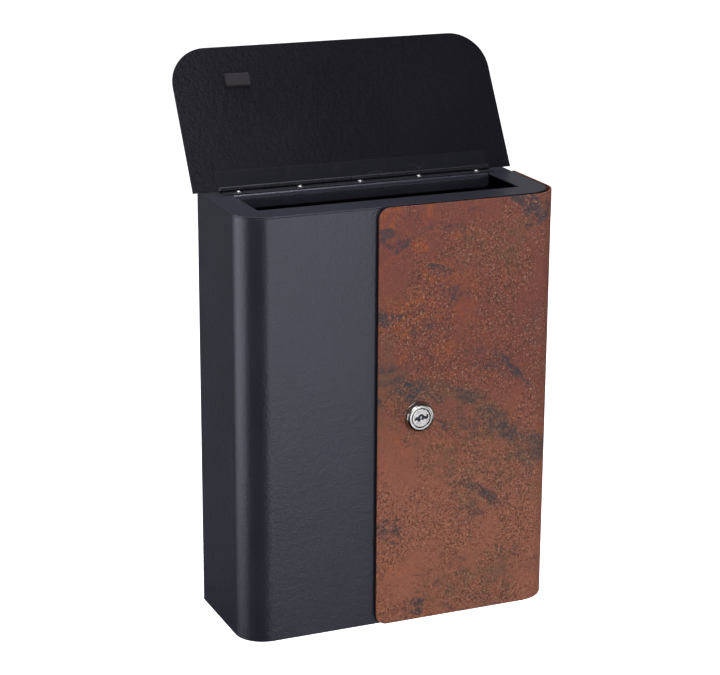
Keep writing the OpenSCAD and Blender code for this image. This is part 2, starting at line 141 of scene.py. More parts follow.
class Graph:
    """The node graph of one material or of the world, with its coordinates."""

    def __init__(self, owner: bpy.types.Material | bpy.types.World,
                 coordinates: str = "Object") -> None:
        """Starts an empty graph.

        Args:
            owner: The material or world that the graph belongs to.
            coordinates: Which coordinates it works in. Those of a piece are in metres.
        """
        owner.use_nodes = True
        self.owner = owner
        self.tree = owner.node_tree
        self.tree.nodes.clear()
        self.place = self.node("ShaderNodeTexCoord", output=coordinates)

    def node(self, kind: str, settings: dict | None = None, sockets: dict | None = None,
             output: int | str = 0) -> Value:
        """Adds any node.

        Args:
            kind: Type of the node.
            settings: The node's own settings, set first. "stops" fills a colour ramp.
            sockets: A number, a colour or a Value for each input that isn't left alone.
            output: The output that is wanted.

        Returns:
            That output.
        """
        made = self.tree.nodes.new(kind)
        for name, setting in (settings or {}).items():
            if name == "stops":
                ramp = made.color_ramp
                while len(ramp.elements) < len(setting):
                    ramp.elements.new(1.0)
                for element, (position, colour) in zip(ramp.elements, setting):
                    element.position = position
                    element.color = colour
            else:
                setattr(made, name, setting)
        for key, given in (sockets or {}).items():
            if isinstance(given, Value):
                self.tree.links.new(given.socket, made.inputs[key])
            else:
                made.inputs[key].default_value = given
        return Value(self, made.outputs[output])

    def along(self, axis: str) -> Value:
        """The distance along one axis, X, Y or Z."""
        return self.node("ShaderNodeSeparateXYZ", {}, {"Vector": self.place}, axis)

    def noise(self, scale: float, detail: float = 2.0, roughness: float = 0.5,
              distortion: float = 0.0, place: Value | None = None) -> Value:
        """Cloudy noise from 0 to 1, with scale features in a metre and detail finer octaves."""
        return self.node("ShaderNodeTexNoise", {"noise_dimensions": "3D"},
                         {"Vector": place or self.place, "Scale": scale, "Detail": detail,
                          "Roughness": roughness, "Distortion": distortion})

    def turned(self, stretch: Place, turn: Place = (0.0, 0.0, 0.0)) -> Value:
        """Coordinates turned by radians, in which features are longer by the stretch."""
        return self.node("ShaderNodeMapping", {"vector_type": "TEXTURE"},
                         {"Vector": self.place, "Rotation": turn, "Scale": stretch})

    def blend(self, amount: Value, first: Value | Colour, second: Value | Colour) -> Value:
        """Mixes two colours, from the first at 0 to the second at 1."""
        return self.node("ShaderNodeMix", {"data_type": "RGBA"},
                         {0: amount, 6: first, 7: second}, output=2)

    def bump(self, height: Value, distance: float) -> Value:
        """Normals of a surface whose height of 1 is that distance in metres."""
        return self.node("ShaderNodeBump", {}, {"Height": height, "Distance": distance})

    def surface(self, sockets: dict) -> bpy.types.Material:
        """Ends the graph in one surface shader and returns the finished material."""
        self.end("Material", self.node("ShaderNodeBsdfPrincipled", {}, sockets))
        return self.owner

    def end(self, kind: str, shader: Value) -> None:
        """Joins a shader to the output of the material or the world."""
        output = self.tree.nodes.new("ShaderNodeOutput" + kind)
        self.tree.links.new(shader.socket, output.inputs["Surface"])


# ---- finishes


@dataclass(frozen=True)
class PowderCoat:
    """Anthracite powder coat with a fine grain."""

    slot: str = "powder_coat"
    tone: str = "#2a2b32"
    pale_tone: str = "#383941"
    roughness: float = 0.32
    grain_scale: float = 620.0
    peel_scale: float = 210.0
    cloud_scale: float = 9.0
    grain_height: float = 0.00036

    def material(self) -> bpy.types.Material:
        """Builds the finish."""
        graph = Graph(bpy.data.materials.new(self.slot))
        grain = graph.noise(self.grain_scale, detail=3.0, roughness=0.6)
        orange_peel = graph.noise(self.peel_scale, detail=1.0)
        clouds = graph.noise(self.cloud_scale)
        pale = clouds.between(0.35, 0.70) * 0.35 + grain.between(0.60, 0.75) * 0.60
        return graph.surface({
            "Base Color": graph.blend(pale, shade(self.tone), shade(self.pale_tone)),
            "Roughness": self.roughness + (grain - 0.5) * 0.14 + (clouds - 0.5) * 0.06,
            "Normal": graph.bump(grain * 0.7 + orange_peel * 0.5, self.grain_height),
        })


@dataclass(frozen=True)
class RustCoat:
    """Rust look coat: smooth red brown clouds, orange crusts, blue grey blotches and dark grit."""

    slot: str = "rust_coat"
    red: str = "#93543b"
    rose: str = "#894c3c"
    orange: str = "#b8602a"
    umber: str = "#2b2321"
    slate: str = "#3b3a3b"
    olive: str = "#6c5b40"
    amber: str = "#dda672"
    worn: str = "#c07a58"
    left_fade: Point = (0.02, 0.11)
    upper_fade: Point = (-0.10, 0.06)
    blotch_turn: float = 0.10
    streak_turn: float = 0.55
    roughness: float = 0.62
    specular: float = 0.35
    grit_height: float = 0.00012

    def material(self) -> bpy.types.Material:
        """Lays clouds, crusts, grit and blotches over each other."""
        graph = Graph(bpy.data.materials.new(self.slot))
        across, up = graph.along("X"), graph.along("Z")
        left_half = 1 - across.between(*self.left_fade)
        lower_half = 1 - up.between(*self.upper_fade)
        clouds = graph.noise(11.0, detail=3.0, roughness=0.55, distortion=0.5)
        crumbs = graph.noise(120.0, detail=4.0, roughness=0.7)
        grit = graph.noise(600.0, detail=3.0, roughness=0.75)
        tint = graph.noise(470.0, detail=3.0, roughness=0.75)
        crusty = graph.noise(16.0, detail=5.0, roughness=0.62, distortion=0.6)
        patches = graph.noise(33.0, detail=5.0, roughness=0.68, distortion=0.8)
        belt = self.belt(across, up, crusty)
        rough_area = crusty.between(0.36, 0.54)
        pale_grit = tint.between(0.53, 0.66) * (0.12 + rough_area * 0.75)
        layers = (
            (patches.between(0.46, 0.64) * crumbs.between(0.34, 0.62)
             * (0.25 + left_half * 0.60), self.orange),
            (lower_half * (0.40 + clouds * 0.35), self.worn),
            ((1 - clouds.between(0.36, 0.50)) * crumbs.between(0.38, 0.60) * 0.60, self.olive),
            (belt * 0.45, self.olive),
            (grit.between(0.47, 0.58) * (0.22 + rough_area * 0.78) * 0.80, self.umber),
            (pale_grit * 0.74, self.amber),
            ((1 - tint.between(0.36, 0.47)) * (0.15 + rough_area * 0.60) * 0.60, self.orange),
        )
        tone = graph.blend(clouds.between(0.35, 0.65), shade(self.red), shade(self.rose))
        for amount, code in layers:
            tone = graph.blend(amount, tone, shade(code))

        lying = graph.turned((1.9, 1.0, 0.9), (0.0, self.blotch_turn, 0.0))
        sloping = graph.turned((2.6, 1.0, 0.8), (0.0, self.streak_turn, 0.0))
        islands = graph.noise(34.0, detail=6.0, roughness=0.68, distortion=0.5, place=lying)
        streaks = graph.noise(30.0, detail=6.0, roughness=0.68, distortion=0.5, place=sloping)
        blotch = islands.between(0.56, 0.64) * (0.25 + left_half * 0.75)
        streak = streaks.between(0.59, 0.65) * (1 - left_half * 0.85)
        vein = belt * islands.between(0.42, 0.54)
        dark = (blotch + streak + vein) * (crumbs * 0.6 + grit * 0.4).between(0.40, 0.52)
        tone = graph.blend(dark * (0.85 - pale_grit * 0.45), tone, shade(self.slate))
        return graph.surface({
            "Base Color": tone,
            "Roughness": self.roughness + (grit - 0.5) * 0.25 - dark * 0.10,
            "Normal": graph.bump(grit * 0.7 + crumbs * 0.5 + tint * 0.3, self.grit_height),
            "Specular IOR Level": self.specular,
        })

    def belt(self, across: Value, up: Value, wander: Value) -> Value:
        """1 in the dark belt at the height of the lock, which wavers and falls to the right."""
        line = up + across * 0.25 + across.between(0.06, 0.13) * 0.04 + (wander - 0.5) * 0.06
        return line.between(0.010, 0.026) * (1 - line.between(0.034, 0.050))


@dataclass(frozen=True)
class GrainedFinish:
    """A finish with a fine grain and with spots of a second tone."""

    slot: str
    tone: str
    spot_tone: str
    roughness: float
    metallic: float = 1.0
    grain: Place = (1500.0, 3.0, 0.65)
    grain_stretch: float = 8.0
    grain_height: float = 0.00001
    roughness_swing: float = 0.14
    spots: Place = (160.0, 3.0, 0.5)
    spot_range: Point = (0.48, 0.72)
    spot_strength: float = 0.5
    spot_roughness: float = 0.06

    def material(self) -> bpy.types.Material:
        """Builds the finish. Grain and spots are features in a metre, octaves and their weight."""
        graph = Graph(bpy.data.materials.new(self.slot))
        grain = graph.noise(*self.grain, place=graph.turned((1.0, 1.0, self.grain_stretch)))
        spots = graph.noise(*self.spots).between(*self.spot_range)
        tone = graph.blend(spots * self.spot_strength, shade(self.tone), shade(self.spot_tone))
        matt = (grain - 0.5) * self.roughness_swing + spots * self.spot_roughness
        return graph.surface({
            "Base Color": tone,
            "Metallic": self.metallic,
            "Roughness": self.roughness + matt,
            "Normal": graph.bump(grain, self.grain_height),
        })


@dataclass(frozen=True)
class BlackSteel(GrainedFinish):
    """Black coated steel of the piano hinges, rubbed a little brighter on its high spots."""

    slot: str = "hinge_black"
    tone: str = "#1b1c1f"
    spot_tone: str = "#3a3a3c"
    roughness: float = 0.42
    metallic: float = 0.3
    grain: Place = (800.0, 3.0, 0.6)
    grain_stretch: float = 1.0
    grain_height: float = 0.00003
    roughness_swing: float = 0.2
    spots: Place = (90.0, 4.0, 0.7)
    spot_range: Point = (0.56, 0.74)
    spot_strength: float = 0.7
    spot_roughness: float = 0.0


@dataclass(frozen=True)
class Rubber(GrainedFinish):
    """Matt grey brown rubber with a moulded grain and a little dust."""

    slot: str = "rubber"
    tone: str = "#2b2826"
    spot_tone: str = "#3f3b38"
    roughness: float = 0.78
    metallic: float = 0.0
    grain: Place = (1100.0, 2.0, 0.5)
    grain_stretch: float = 1.0
    grain_height: float = 0.00005
    roughness_swing: float = 0.2
    spots: Place = (140.0, 4.0, 0.7)
    spot_range: Point = (0.50, 0.75)
    spot_strength: float = 0.6
    spot_roughness: float = 0.0


# ---- shapes


def arc(centre: Point, radius: float, start: float, end: float, steps: int) -> list[Point]:
    """Points along an arc from a start to an end angle in degrees, both ends included."""
    turns = [math.radians(start + (end - start) * step / steps) for step in range(steps + 1)]
    return [(centre[0] + radius * math.cos(t), centre[1] + radius * math.sin(t)) for t in turns]


def circle(radius: float, steps: int = 64, centre: Point = (0.0, 0.0)) -> list[Point]:
    """Points round a full circle."""
    return arc(centre, radius, 0, 360, steps)[:-1]


def rounded(low: Point, high: Point, radii: Sequence[float], steps: int = 10) -> list[Point]:
    """Outline of a rectangle with rounded corners.

    Args:
        low: Lowest corner.
        high: Highest corner.
        radii: Radius of the four corners, from the lowest corner and anticlockwise.
        steps: Steps in each rounded corner.

    Returns:
        The points of the outline, anticlockwise.
    """
    corners = [(low[0], low[1]), (high[0], low[1]), (high[0], high[1]), (low[0], high[1])]
    points: list[Point] = []
    for index, ((x, y), radius) in enumerate(zip(corners, radii)):
        inward_x = radius if x == low[0] else -radius
        inward_y = radius if y == low[1] else -radius
        start = 180 + 90 * index
        if radius == 0:
            points.append((x, y))
        else:
            points += arc((x + inward_x, y + inward_y), radius, start, start + 90, steps)
    return points


@dataclass(frozen=True)
class QuarterBend:
    """A bend of a quarter turn in a sheet, measured on its outside."""

    radius: float
    steps: int

    @property
    def length(self) -> float:
        """Length of the sheet in the bend."""
        return self.radius * math.pi / 2

    def cuts(self, start: float) -> list[float]:
        """Where the sheet is cut to bend, from the start of the bend to its end."""
        return [start + self.length * step / self.steps for step in range(self.steps + 1)]

    def carry(self, past: float) -> Point:
        """Turns distance past the start into distances in the old and the new direction."""
        turn = min(max(past, 0.0) / self.radius, math.pi / 2)
        return (min(past, 0.0) + self.radius * math.sin(turn),
                max(past - self.length, 0.0) + self.radius * (1 - math.cos(turn)))

    def round_corner(self, corner: Point, flat: Vector) -> Place:
        """Bends a sheet, flat from the middle on, round the right corner or its mirror image."""
        along, back = self.carry(abs(flat.x) - corner[0])
        return (math.copysign(corner[0] + along, flat.x), corner[1] - self.radius + back, flat.y)


class Shape:
    """A mesh in the making, in millimetres."""

    def __init__(self) -> None:
        """Starts an empty shape."""
        self.mesh = bmesh.new()

    def fill(self, *loops: Sequence[Point], height: float = 0.0) -> "Shape":
        """Adds a flat face, facing up, with holes.

        Args:
            loops: The outline, then the outline of each hole.
            height: Where the face lies.

        Returns:
            The shape itself.
        """
        edges = []
        for loop in loops:
            corners = [self.mesh.verts.new((x, y, height)) for x, y in loop]
            edges += [self.mesh.edges.new(pair) for pair in zip(corners, corners[1:] + corners[:1])]
        made = bmesh.ops.triangle_fill(self.mesh, use_beauty=True, edges=edges)
        for item in made["geom"]:
            if isinstance(item, bmesh.types.BMFace):
                item.normal_update()
                if item.normal.z < 0:
                    item.normal_flip()
        bmesh.ops.dissolve_limit(self.mesh, angle_limit=0.01, verts=list(self.mesh.verts),
                                 edges=list(self.mesh.edges))
        return self

    def slice(self, axis: Place, places: Sequence[float]) -> "Shape":
        """Cuts every face along parallel lines, so that it can bend there.

        Args:
            axis: Direction across the cuts.
            places: Distance of each cut along that direction.

        Returns:
            The shape itself.
        """
        across = Vector(axis)
        for place in places:
            everything = [*self.mesh.verts, *self.mesh.edges, *self.mesh.faces]
            bmesh.ops.bisect_plane(self.mesh, geom=everything, dist=1e-5,
                                   plane_co=across * place, plane_no=across)
        return self

    def bend(self, rule: Callable[[Vector], Place]) -> "Shape":
        """Moves every corner to where the rule puts it."""
        for corner in self.mesh.verts:
            corner.co = rule(corner.co.copy())
        return self

    def raise_by(self, depth: float) -> "Shape":
        """Turns the flat shape into a solid that reaches up by the depth."""
        grown = bmesh.ops.extrude_face_region(self.mesh, geom=list(self.mesh.faces))
        corners = [item for item in grown["geom"] if isinstance(item, bmesh.types.BMVert)]
        bmesh.ops.translate(self.mesh, verts=corners, vec=(0, 0, depth))
        bmesh.ops.recalc_face_normals(self.mesh, faces=list(self.mesh.faces))
        return self

    def stack(self, levels: Sequence[tuple[float, Sequence[Point]]], cap_first: bool = False,
              cap_last: bool = False) -> "Shape":
        """Joins flat outlines of the same number of corners with faces.

        Args:
            levels: The height and the outline of each, in order.
            cap_first: Whether the first outline is closed with a face.
            cap_last: Whether the last outline is closed with a face.

        Returns:
            The shape itself.
        """
        made = [[self.mesh.verts.new((x, y, height)) for x, y in outline]
                for height, outline in levels]
        for low, high in zip(made, made[1:]):
            for index in range(len(low)):
                after = (index + 1) % len(low)
                self.mesh.faces.new((low[index], low[after], high[after], high[index]))
        if cap_first:
            self.mesh.faces.new(list(reversed(made[0])))
        if cap_last:
            self.mesh.faces.new(made[-1])
        return self

    def lathe(self, profile: Sequence[Point], steps: int = 64, closed: bool = False) -> "Shape":
        """Turns a profile of radius and height about the vertical axis.

        Args:
            profile: The points of the profile. An open one is capped at both ends.
            steps: Steps round the axis.
            closed: Whether the profile's last point joins its first, as in a ring.

        Returns:
            The shape itself.
        """
        points = [*profile, profile[0]] if closed else profile
        levels = [(height, circle(radius, steps)) for radius, height in points]
        return self.stack(levels, cap_first=not closed, cap_last=not closed)

    def join(self, other: "Shape", matrix: Matrix = Matrix()) -> "Shape":
        """Adds a copy of another shape.

        Args:
            other: The shape to copy.
            matrix: Where the copy goes.

        Returns:
            The shape itself.
        """
        copied = bpy.data.meshes.new("copied")
        other.mesh.to_mesh(copied)
        copied.transform(matrix)
        self.mesh.from_mesh(copied)
        bpy.data.meshes.remove(copied)
        return self

    def piece(self, name: str, matrix: Matrix = Matrix(), solid: bool = True) -> bpy.types.Object:
        """Makes the finished object, in metres.

        Args:
            name: Name of the piece.
            matrix: Where the shape goes, in millimetres.
            solid: Whether the shape is closed, so that its faces can be turned outwards.

        Returns:
            The object.
        """
        bmesh.ops.remove_doubles(self.mesh, verts=list(self.mesh.verts), dist=1e-4)
        if solid:
            bmesh.ops.recalc_face_normals(self.mesh, faces=list(self.mesh.faces))
        self.mesh.transform(Matrix.Scale(MM, 4) @ matrix)
        mesh = bpy.data.meshes.new(name)
        self.mesh.to_mesh(mesh)
        self.mesh.free()
        mesh.polygons.foreach_set("use_smooth", [True] * len(mesh.polygons))
        made = bpy.data.objects.new(name + LOOK, mesh)
        bpy.context.scene.collection.objects.link(made)
        return made


def turned_about(axis: str, degrees: float) -> Matrix:
    """A turn about one axis."""
    return Matrix.Rotation(math.radians(degrees), 4, axis)


class Workshop:
    """Makes each piece from its shape, dresses it, hangs it on its body and reports it."""

    edge_steps: int = 2
    edge_angle: float = 35.0

    def __init__(self) -> None:
        """Makes one material for each finish."""
        finishes = [
            PowderCoat(),
            # A darker copy of the same powder coat for the lid: painted shade on its underside
            PowderCoat(slot="lid_painted_shade_coat", tone="#131316", pale_tone="#19191c"),
            RustCoat(),
            BlackSteel(),
            Rubber(),
            GrainedFinish("stainless", "#a8a69c", "#706f69", 0.26),
            GrainedFinish("chrome", "#b6b4a8", "#9b998f", 0.19),
            GrainedFinish("zinc", "#a3a6a8", "#7d7f80", 0.34),
        ]
        self.materials = {finish.slot: finish.material() for finish in finishes}

    def add(self, name: str, shape: Shape, body: Body, slot: str, edge: float,
            place: Matrix = Matrix(), sheet: float = 0.0, side: float = -1.0,
            replaces: bool = True, coat: str = "") -> None:
        """Makes and finishes a piece.

        Args:
            name: Name of the piece, and of the CAD node that it stands for.
            shape: Its shape: a solid, or an open surface where it is a sheet.
            body: The body that it moves with.
            slot: Its material slot.
            edge: Width of its broken edges, in millimetres.
            place: Where the shape goes, in millimetres.
            sheet: Thickness of a sheet, or 0 for a solid.
            side: -1 for a sheet that lies behind its faces, 1 for one in front.
            replaces: Whether there is a CAD node of that name.
            coat: Name of the finish, where it differs from the slot.
        """
        piece = shape.piece(name, place, solid=not sheet)
        if sheet:
            wall = piece.modifiers.new("sheet", "SOLIDIFY")
            wall.thickness = sheet * MM
            wall.offset = side
            wall.use_even_offset = True
        bevel = piece.modifiers.new("edges", "BEVEL")
        bevel.width = edge * MM
        bevel.segments = self.edge_steps
        bevel.limit_method = "ANGLE"
        bevel.angle_limit = math.radians(self.edge_angle)
        bevel.use_clamp_overlap = True
        shading = piece.modifiers.new("shading", "WEIGHTED_NORMAL")
        shading.mode = "FACE_AREA_WITH_ANGLE"
        shading.keep_sharp = False
        piece.data.materials.append(self.materials[coat or slot])
        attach(piece, body.value)
        if replaces:
            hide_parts(name)
        log.info("%s on %s in %s", name, body.value, slot)


def joint(name: str) -> dict:
    """Finds one joint of the frame by its name."""
    return next(row for row in frame["joints"] if row["name"] == name)


def spot(name: str) -> Vector:
    """Where a joint is, in millimetres."""
    return Vector(joint(name)["pos_m"]) / MM


def box(node: str) -> tuple[Vector, Vector]:
    """Lowest and highest corners of a CAD node, in millimetres."""
    low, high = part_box(node)
    return Vector(low) / MM, Vector(high) / MM


# ---- hinges


@dataclass(frozen=True)
class PopRivet:
    """A pop rivet with a domed head, the stub of its mandrel and a swollen tail."""

    head_h: float
    grip: float
    head_d: float = 6.0
    shank_d: float = 3.2
    tail_d: float = 4.5
    tail_h: float = 1.6
    shoulder_h: float = 0.2
    stub_d: float = 1.9
    dome_steps: int = 7
    steps: int = 32

    def shape(self) -> Shape:
        """The rivet, with the underside of its head at height 0."""
        rim = self.head_h * 0.16
        turns = [math.radians(90 * step / self.dome_steps) for step in range(self.dome_steps)]
        hollow = self.stub_d / 2
        mouth, tail_r = hollow * 1.25, self.tail_d / 2
        dome = [(mouth + (self.head_d / 2 - mouth) * math.cos(turn),
                 rim + (self.head_h - rim) * math.sin(turn)) for turn in turns]
        mandrel = [(hollow * 1.2, self.head_h), (hollow, self.head_h * 0.62),
                   (hollow * 0.82, self.head_h * 0.62), (hollow * 0.7, self.head_h * 0.80)]
        tail_low = -self.grip - self.tail_h
        shank = [(self.tail_d * 0.3, tail_low), (tail_r, tail_low + self.tail_h * 0.4),
                 (tail_r, -self.grip - self.shoulder_h), (self.shank_d / 2, -self.grip),
                 (self.shank_d / 2, 0), (self.head_d / 2, 0)]
        return Shape().lathe([*shank, *dome, *mandrel], self.steps)


@dataclass(frozen=True)
class PianoHinge:
    """A riveted piano hinge with rolled knuckles, along X with its leaves running to -Y."""

    knuckles: int
    pitch: float
    knuckle_d: float
    leaf_t: float
    leaf_widths: Point
    leaf_edge: float
    pin_d: float
    pin_edge: float
    rivets: int
    rivet_end: float
    rivet_row: float
    rivet_h: float
    rivet_edge: float = 0.08
    hole_d: float = 3.4
    hole_steps: int = 20
    pin_head_lap: float = 0.4
    pin_head_t: float = 0.6
    pin_steps: int = 24
    gap: float = 0.3
    curl_degrees: float = 300.0
    curl_steps: int = 25

    @property
    def length(self) -> float:
        """Full length of the hinge."""
        return self.knuckles * self.pitch

    @property
    def radius(self) -> float:
        """Outer radius of the knuckles."""
        return self.knuckle_d / 2

    def leaf(self, first: int, holes: Sequence[Point]) -> Shape:
        """One leaf, whose comb of tongues is rolled round the pin.

        Args:
            first: 0 for the leaf with the end knuckles, 1 for the other.
            holes: Centres of the holes in the leaf.

        Returns:
            The outer surface of the leaf, under the knuckles.
        """
        curl = math.radians(self.curl_degrees) * self.radius
        neck = -self.radius - self.gap
        half = self.length / 2
        foot = -self.leaf_widths[first]
        outline: list[Point] = [(-half, foot), (half, foot)]
        for index in reversed(range(self.knuckles)):
            right = (index + 1) * self.pitch - half
            left = right - self.pitch
            if index % 2 == first:
                right -= self.gap / 2
                left += self.gap / 2
                outline += [(right, neck), (right, curl), (left, curl), (left, neck)]
            elif index == self.knuckles - 1:
                outline.append((right, neck))
            elif index == 0:
                outline.append((left, neck))
        drilled = [circle(self.hole_d / 2, self.hole_steps, hole) for hole in holes]
        sheet = Shape().fill(outline, *drilled)
        steps = [curl * step / self.curl_steps for step in range(self.curl_steps)]
        return sheet.slice((0, 1, 0), [neck, *steps]).bend(self._roll)

    def _roll(self, flat: Vector) -> Place:
        """Rolls what lies past the axis round the pin."""
        if flat.y <= 0:
            return (flat.x, flat.y, -self.radius)
        turn = flat.y / self.radius
        return (flat.x, self.radius * math.sin(turn), -self.radius * math.cos(turn))

    def pin(self) -> Shape:
        """The pin, along X, with a peened head at each end."""
        end = (self.length - self.gap) / 2
        pin_r = self.pin_d / 2
        head_r = pin_r + self.pin_head_lap
        half = [(pin_r, 0), (pin_r, end), (head_r, end),
                (head_r, end + self.pin_head_t * 0.4), (head_r * 0.6, end + self.pin_head_t)]
        profile = [(radius, -height) for radius, height in reversed(half[1:])] + half
        return Shape().join(Shape().lathe(profile, self.pin_steps), turned_about("Y", 90))

    def build(self, shop: Workshop, body: Body, fixed: Matrix, moving: Matrix,
              seat_t: float) -> None:
        """Makes both leaves, the pin and the rivets.

        Args:
            shop: The workshop that finishes them.
            body: The body that the moving leaf is on.
            fixed: Where the leaf on the case goes.
            moving: Where the moving leaf goes, before it is turned over.
            seat_t: Thickness of the sheet that the rivets hold.
        """
        name = f"{body.value}_hinge"
        span = self.length - 2 * self.rivet_end
        row = [(span * (index / (self.rivets - 1) - 0.5), -self.rivet_row)
               for index in range(self.rivets)]
        shop.add(f"{name}_case_leaf", self.leaf(0, row), Body.CASE, "hinge_black",
                 self.leaf_edge, fixed, self.leaf_t, 1.0)
        shop.add(f"{name}_{body.value}_leaf", self.leaf(1, []), body, "hinge_black",
                 self.leaf_edge, moving @ turned_about("Y", 180), self.leaf_t, 1.0)
        shop.add(f"{name}_pin", self.pin(), Body.CASE, "stainless", self.pin_edge, fixed)
        rivet = PopRivet(self.rivet_h, self.leaf_t + seat_t).shape()
        rivets = Shape()
        for x, y in row:
            rivets.join(rivet, Matrix.Translation((x, y, self.leaf_t - self.radius)))
        shop.add(f"{name}_rivets", rivets, Body.CASE, "stainless", self.rivet_edge, fixed)


# ---- the case


@dataclass
class Case:
    """The sheet metal case with its slot rim, and everything fixed to it."""

    shop: Workshop
    bend: QuarterBend = QuarterBend(27.5, 18)
    opening: tuple[Point, Point] = ((-6.0, -144.0), (123.0, 170.0))
    opening_r: float = 8.0
    wall_hole: Point = (100.0, 140.0)
    wall_hole_d: float = 7.0
    drain_inset: float = 30.0
    drain_d: float = 6.0
    slot: tuple[Point, Point] = ((-128.5, -89.0), (128.5, -24.5))
    tab_relief: float = 0.6
    tab_fold: QuarterBend = QuarterBend(4.0, 8)
    tab_corner_r: float = 4.0
    keeper_flange: float = 13.0
    buffers_in_row: int = 4
    edge: float = 0.45
    keeper_edge: float = 0.35
    buffer_edge: float = 0.2

    def __post_init__(self) -> None:
        """Reads the sizes of the case from the frame."""
        self.low, self.high = box("case_shell")
        base_low, base_high = box("case_base")
        self.sheet = base_high.z - base_low.z
        self.base_top = base_high.z
        self.side_x = self.high.x
        self.depth = -self.low.y
        self.corner = (self.side_x - self.bend.radius, self.bend.radius - self.depth)

    def build(self) -> None:
        """Makes the sheets of the case and what is fixed to them."""
        self.shell()
        self.back()
        self.base()
        self.rim()
        self.keeper()
        self.buffers()

    def add_sheet(self, name: str, shape: Shape, thickness: float) -> None:
        """Adds one coated sheet of the case."""
        self.shop.add(name, shape, Body.CASE, "powder_coat", self.edge, sheet=thickness)

    def shell(self) -> None:
        """The sides and the front, bent from one sheet, with the mail opening."""
        reach = self.corner[0] + self.bend.length + (self.high.y - self.corner[1])
        outline = rounded((-reach, self.low.z), (reach, self.high.z), [0, 0, 0, 0])
        hole = rounded(*self.opening, [self.opening_r] * 4)
        cuts = self.bend.cuts(self.corner[0])
        sheet = Shape().fill(outline, hole).slice((1, 0, 0), [*cuts, *(-cut for cut in cuts)])
        sheet.bend(lambda flat: self.bend.round_corner(self.corner, flat))
        self.add_sheet("case_shell", sheet, self.sheet)

    def back(self) -> None:
        """The back plate with the wall holes."""
        low, high = box("case_back")
        outline = rounded((low.x, low.z), (high.x, high.z), [0, 0, 0, 0])
        holes = [circle(self.wall_hole_d / 2, 32, (x * self.wall_hole[0], z * self.wall_hole[1]))
                 for x in (-1, 1) for z in (-1, 1)]
        sheet = Shape().fill(outline, *holes).bend(lambda flat: (-flat.x, 0.0, flat.y))
        self.add_sheet("case_back", sheet, high.y - low.y)

    def plan(self, inset: float) -> list[Point]:
        """Outline of the case seen from above, inset all round."""
        x = self.side_x - inset
        radius = self.bend.radius - inset
        return rounded((-x, inset - self.depth), (x, -inset), [radius, radius, 0, 0],
                       self.bend.steps)

    def base(self) -> None:
        """The base plate with its drain holes."""
        x = self.side_x - self.drain_inset
        holes = [circle(self.drain_d / 2, 24, (side * x, y)) for side in (-1, 1)
                 for y in (-self.drain_inset, self.drain_inset - self.depth)]
        sheet = Shape().fill(self.plan(self.sheet), *holes, height=self.base_top)
        self.add_sheet("case_base", sheet, self.sheet)

    def rim(self) -> None:
        """The top plate with the mail slot and the strip folded down behind it."""
        low, high = box("slot_rim")
        (left, front), (right, rear) = self.slot
        tip = rear - self.tab_fold.length - (high.z - low.z - self.tab_fold.radius)
        tab_x = right - self.tab_relief
        tab = rounded((-tab_x, tip), (tab_x, rear), [self.tab_corner_r, self.tab_corner_r, 0, 0])
        hole = [(left, front), (right, front), (right, rear), (tab_x, rear),
                *reversed(tab[:-2]), (-tab_x, rear), (left, rear)]

        def fold(flat: Vector) -> Place:
            """Folds the strip down behind the slot."""
            if abs(flat.x) > tab_x + 1e-3 or flat.y < tip - 1e-3:
                return (flat.x, flat.y, high.z)
            ahead, below = self.tab_fold.carry(rear - flat.y)
            return (flat.x, rear - ahead, high.z - below)

        cuts = [-cut for cut in self.tab_fold.cuts(-rear)]
        sheet = Shape().fill(self.plan(0.0), hole).slice((0, 1, 0), cuts).bend(fold)
        self.add_sheet("slot_rim", sheet, high.z - self.high.z)

    def keeper(self) -> None:
        """The bracket that the lock's cam turns behind."""
        low, high = box("cam_keeper")
        width, depth, height = high - low
        wall = self.sheet
        web = width - self.keeper_flange
        outline = [(0, 0), (web + wall, 0), (web + wall, depth - wall), (width, depth - wall),
                   (width, depth), (web, depth), (web, wall), (0, wall)]
        self.shop.add("cam_keeper", Shape().fill(outline).raise_by(height), Body.CASE,
                      "powder_coat", self.keeper_edge, Matrix.Translation(low))

    def buffers(self) -> None:
        """The rubber discs that keep the door off the case."""
        low, high = box("door_buffers")
        radius = (high.x - low.x) / 2
        depth = high.y - low.y
        pitch = (high.z - low.z - 2 * radius) / (self.buffers_in_row - 1)
        disc = Shape().lathe([(radius, 0), (radius, depth * 0.6), (radius * 0.94, depth * 0.85),
                              (radius * 0.80, depth)], 32)
        discs = Shape()
        for index in range(self.buffers_in_row):
            place = Vector((low.x + radius, high.y, low.z + radius + index * pitch))
            discs.join(disc, Matrix.Translation(place) @ turned_about("X", 90))
        self.shop.add("door_buffers", discs, Body.CASE, "rubber", self.buffer_edge)


# ---- the lid


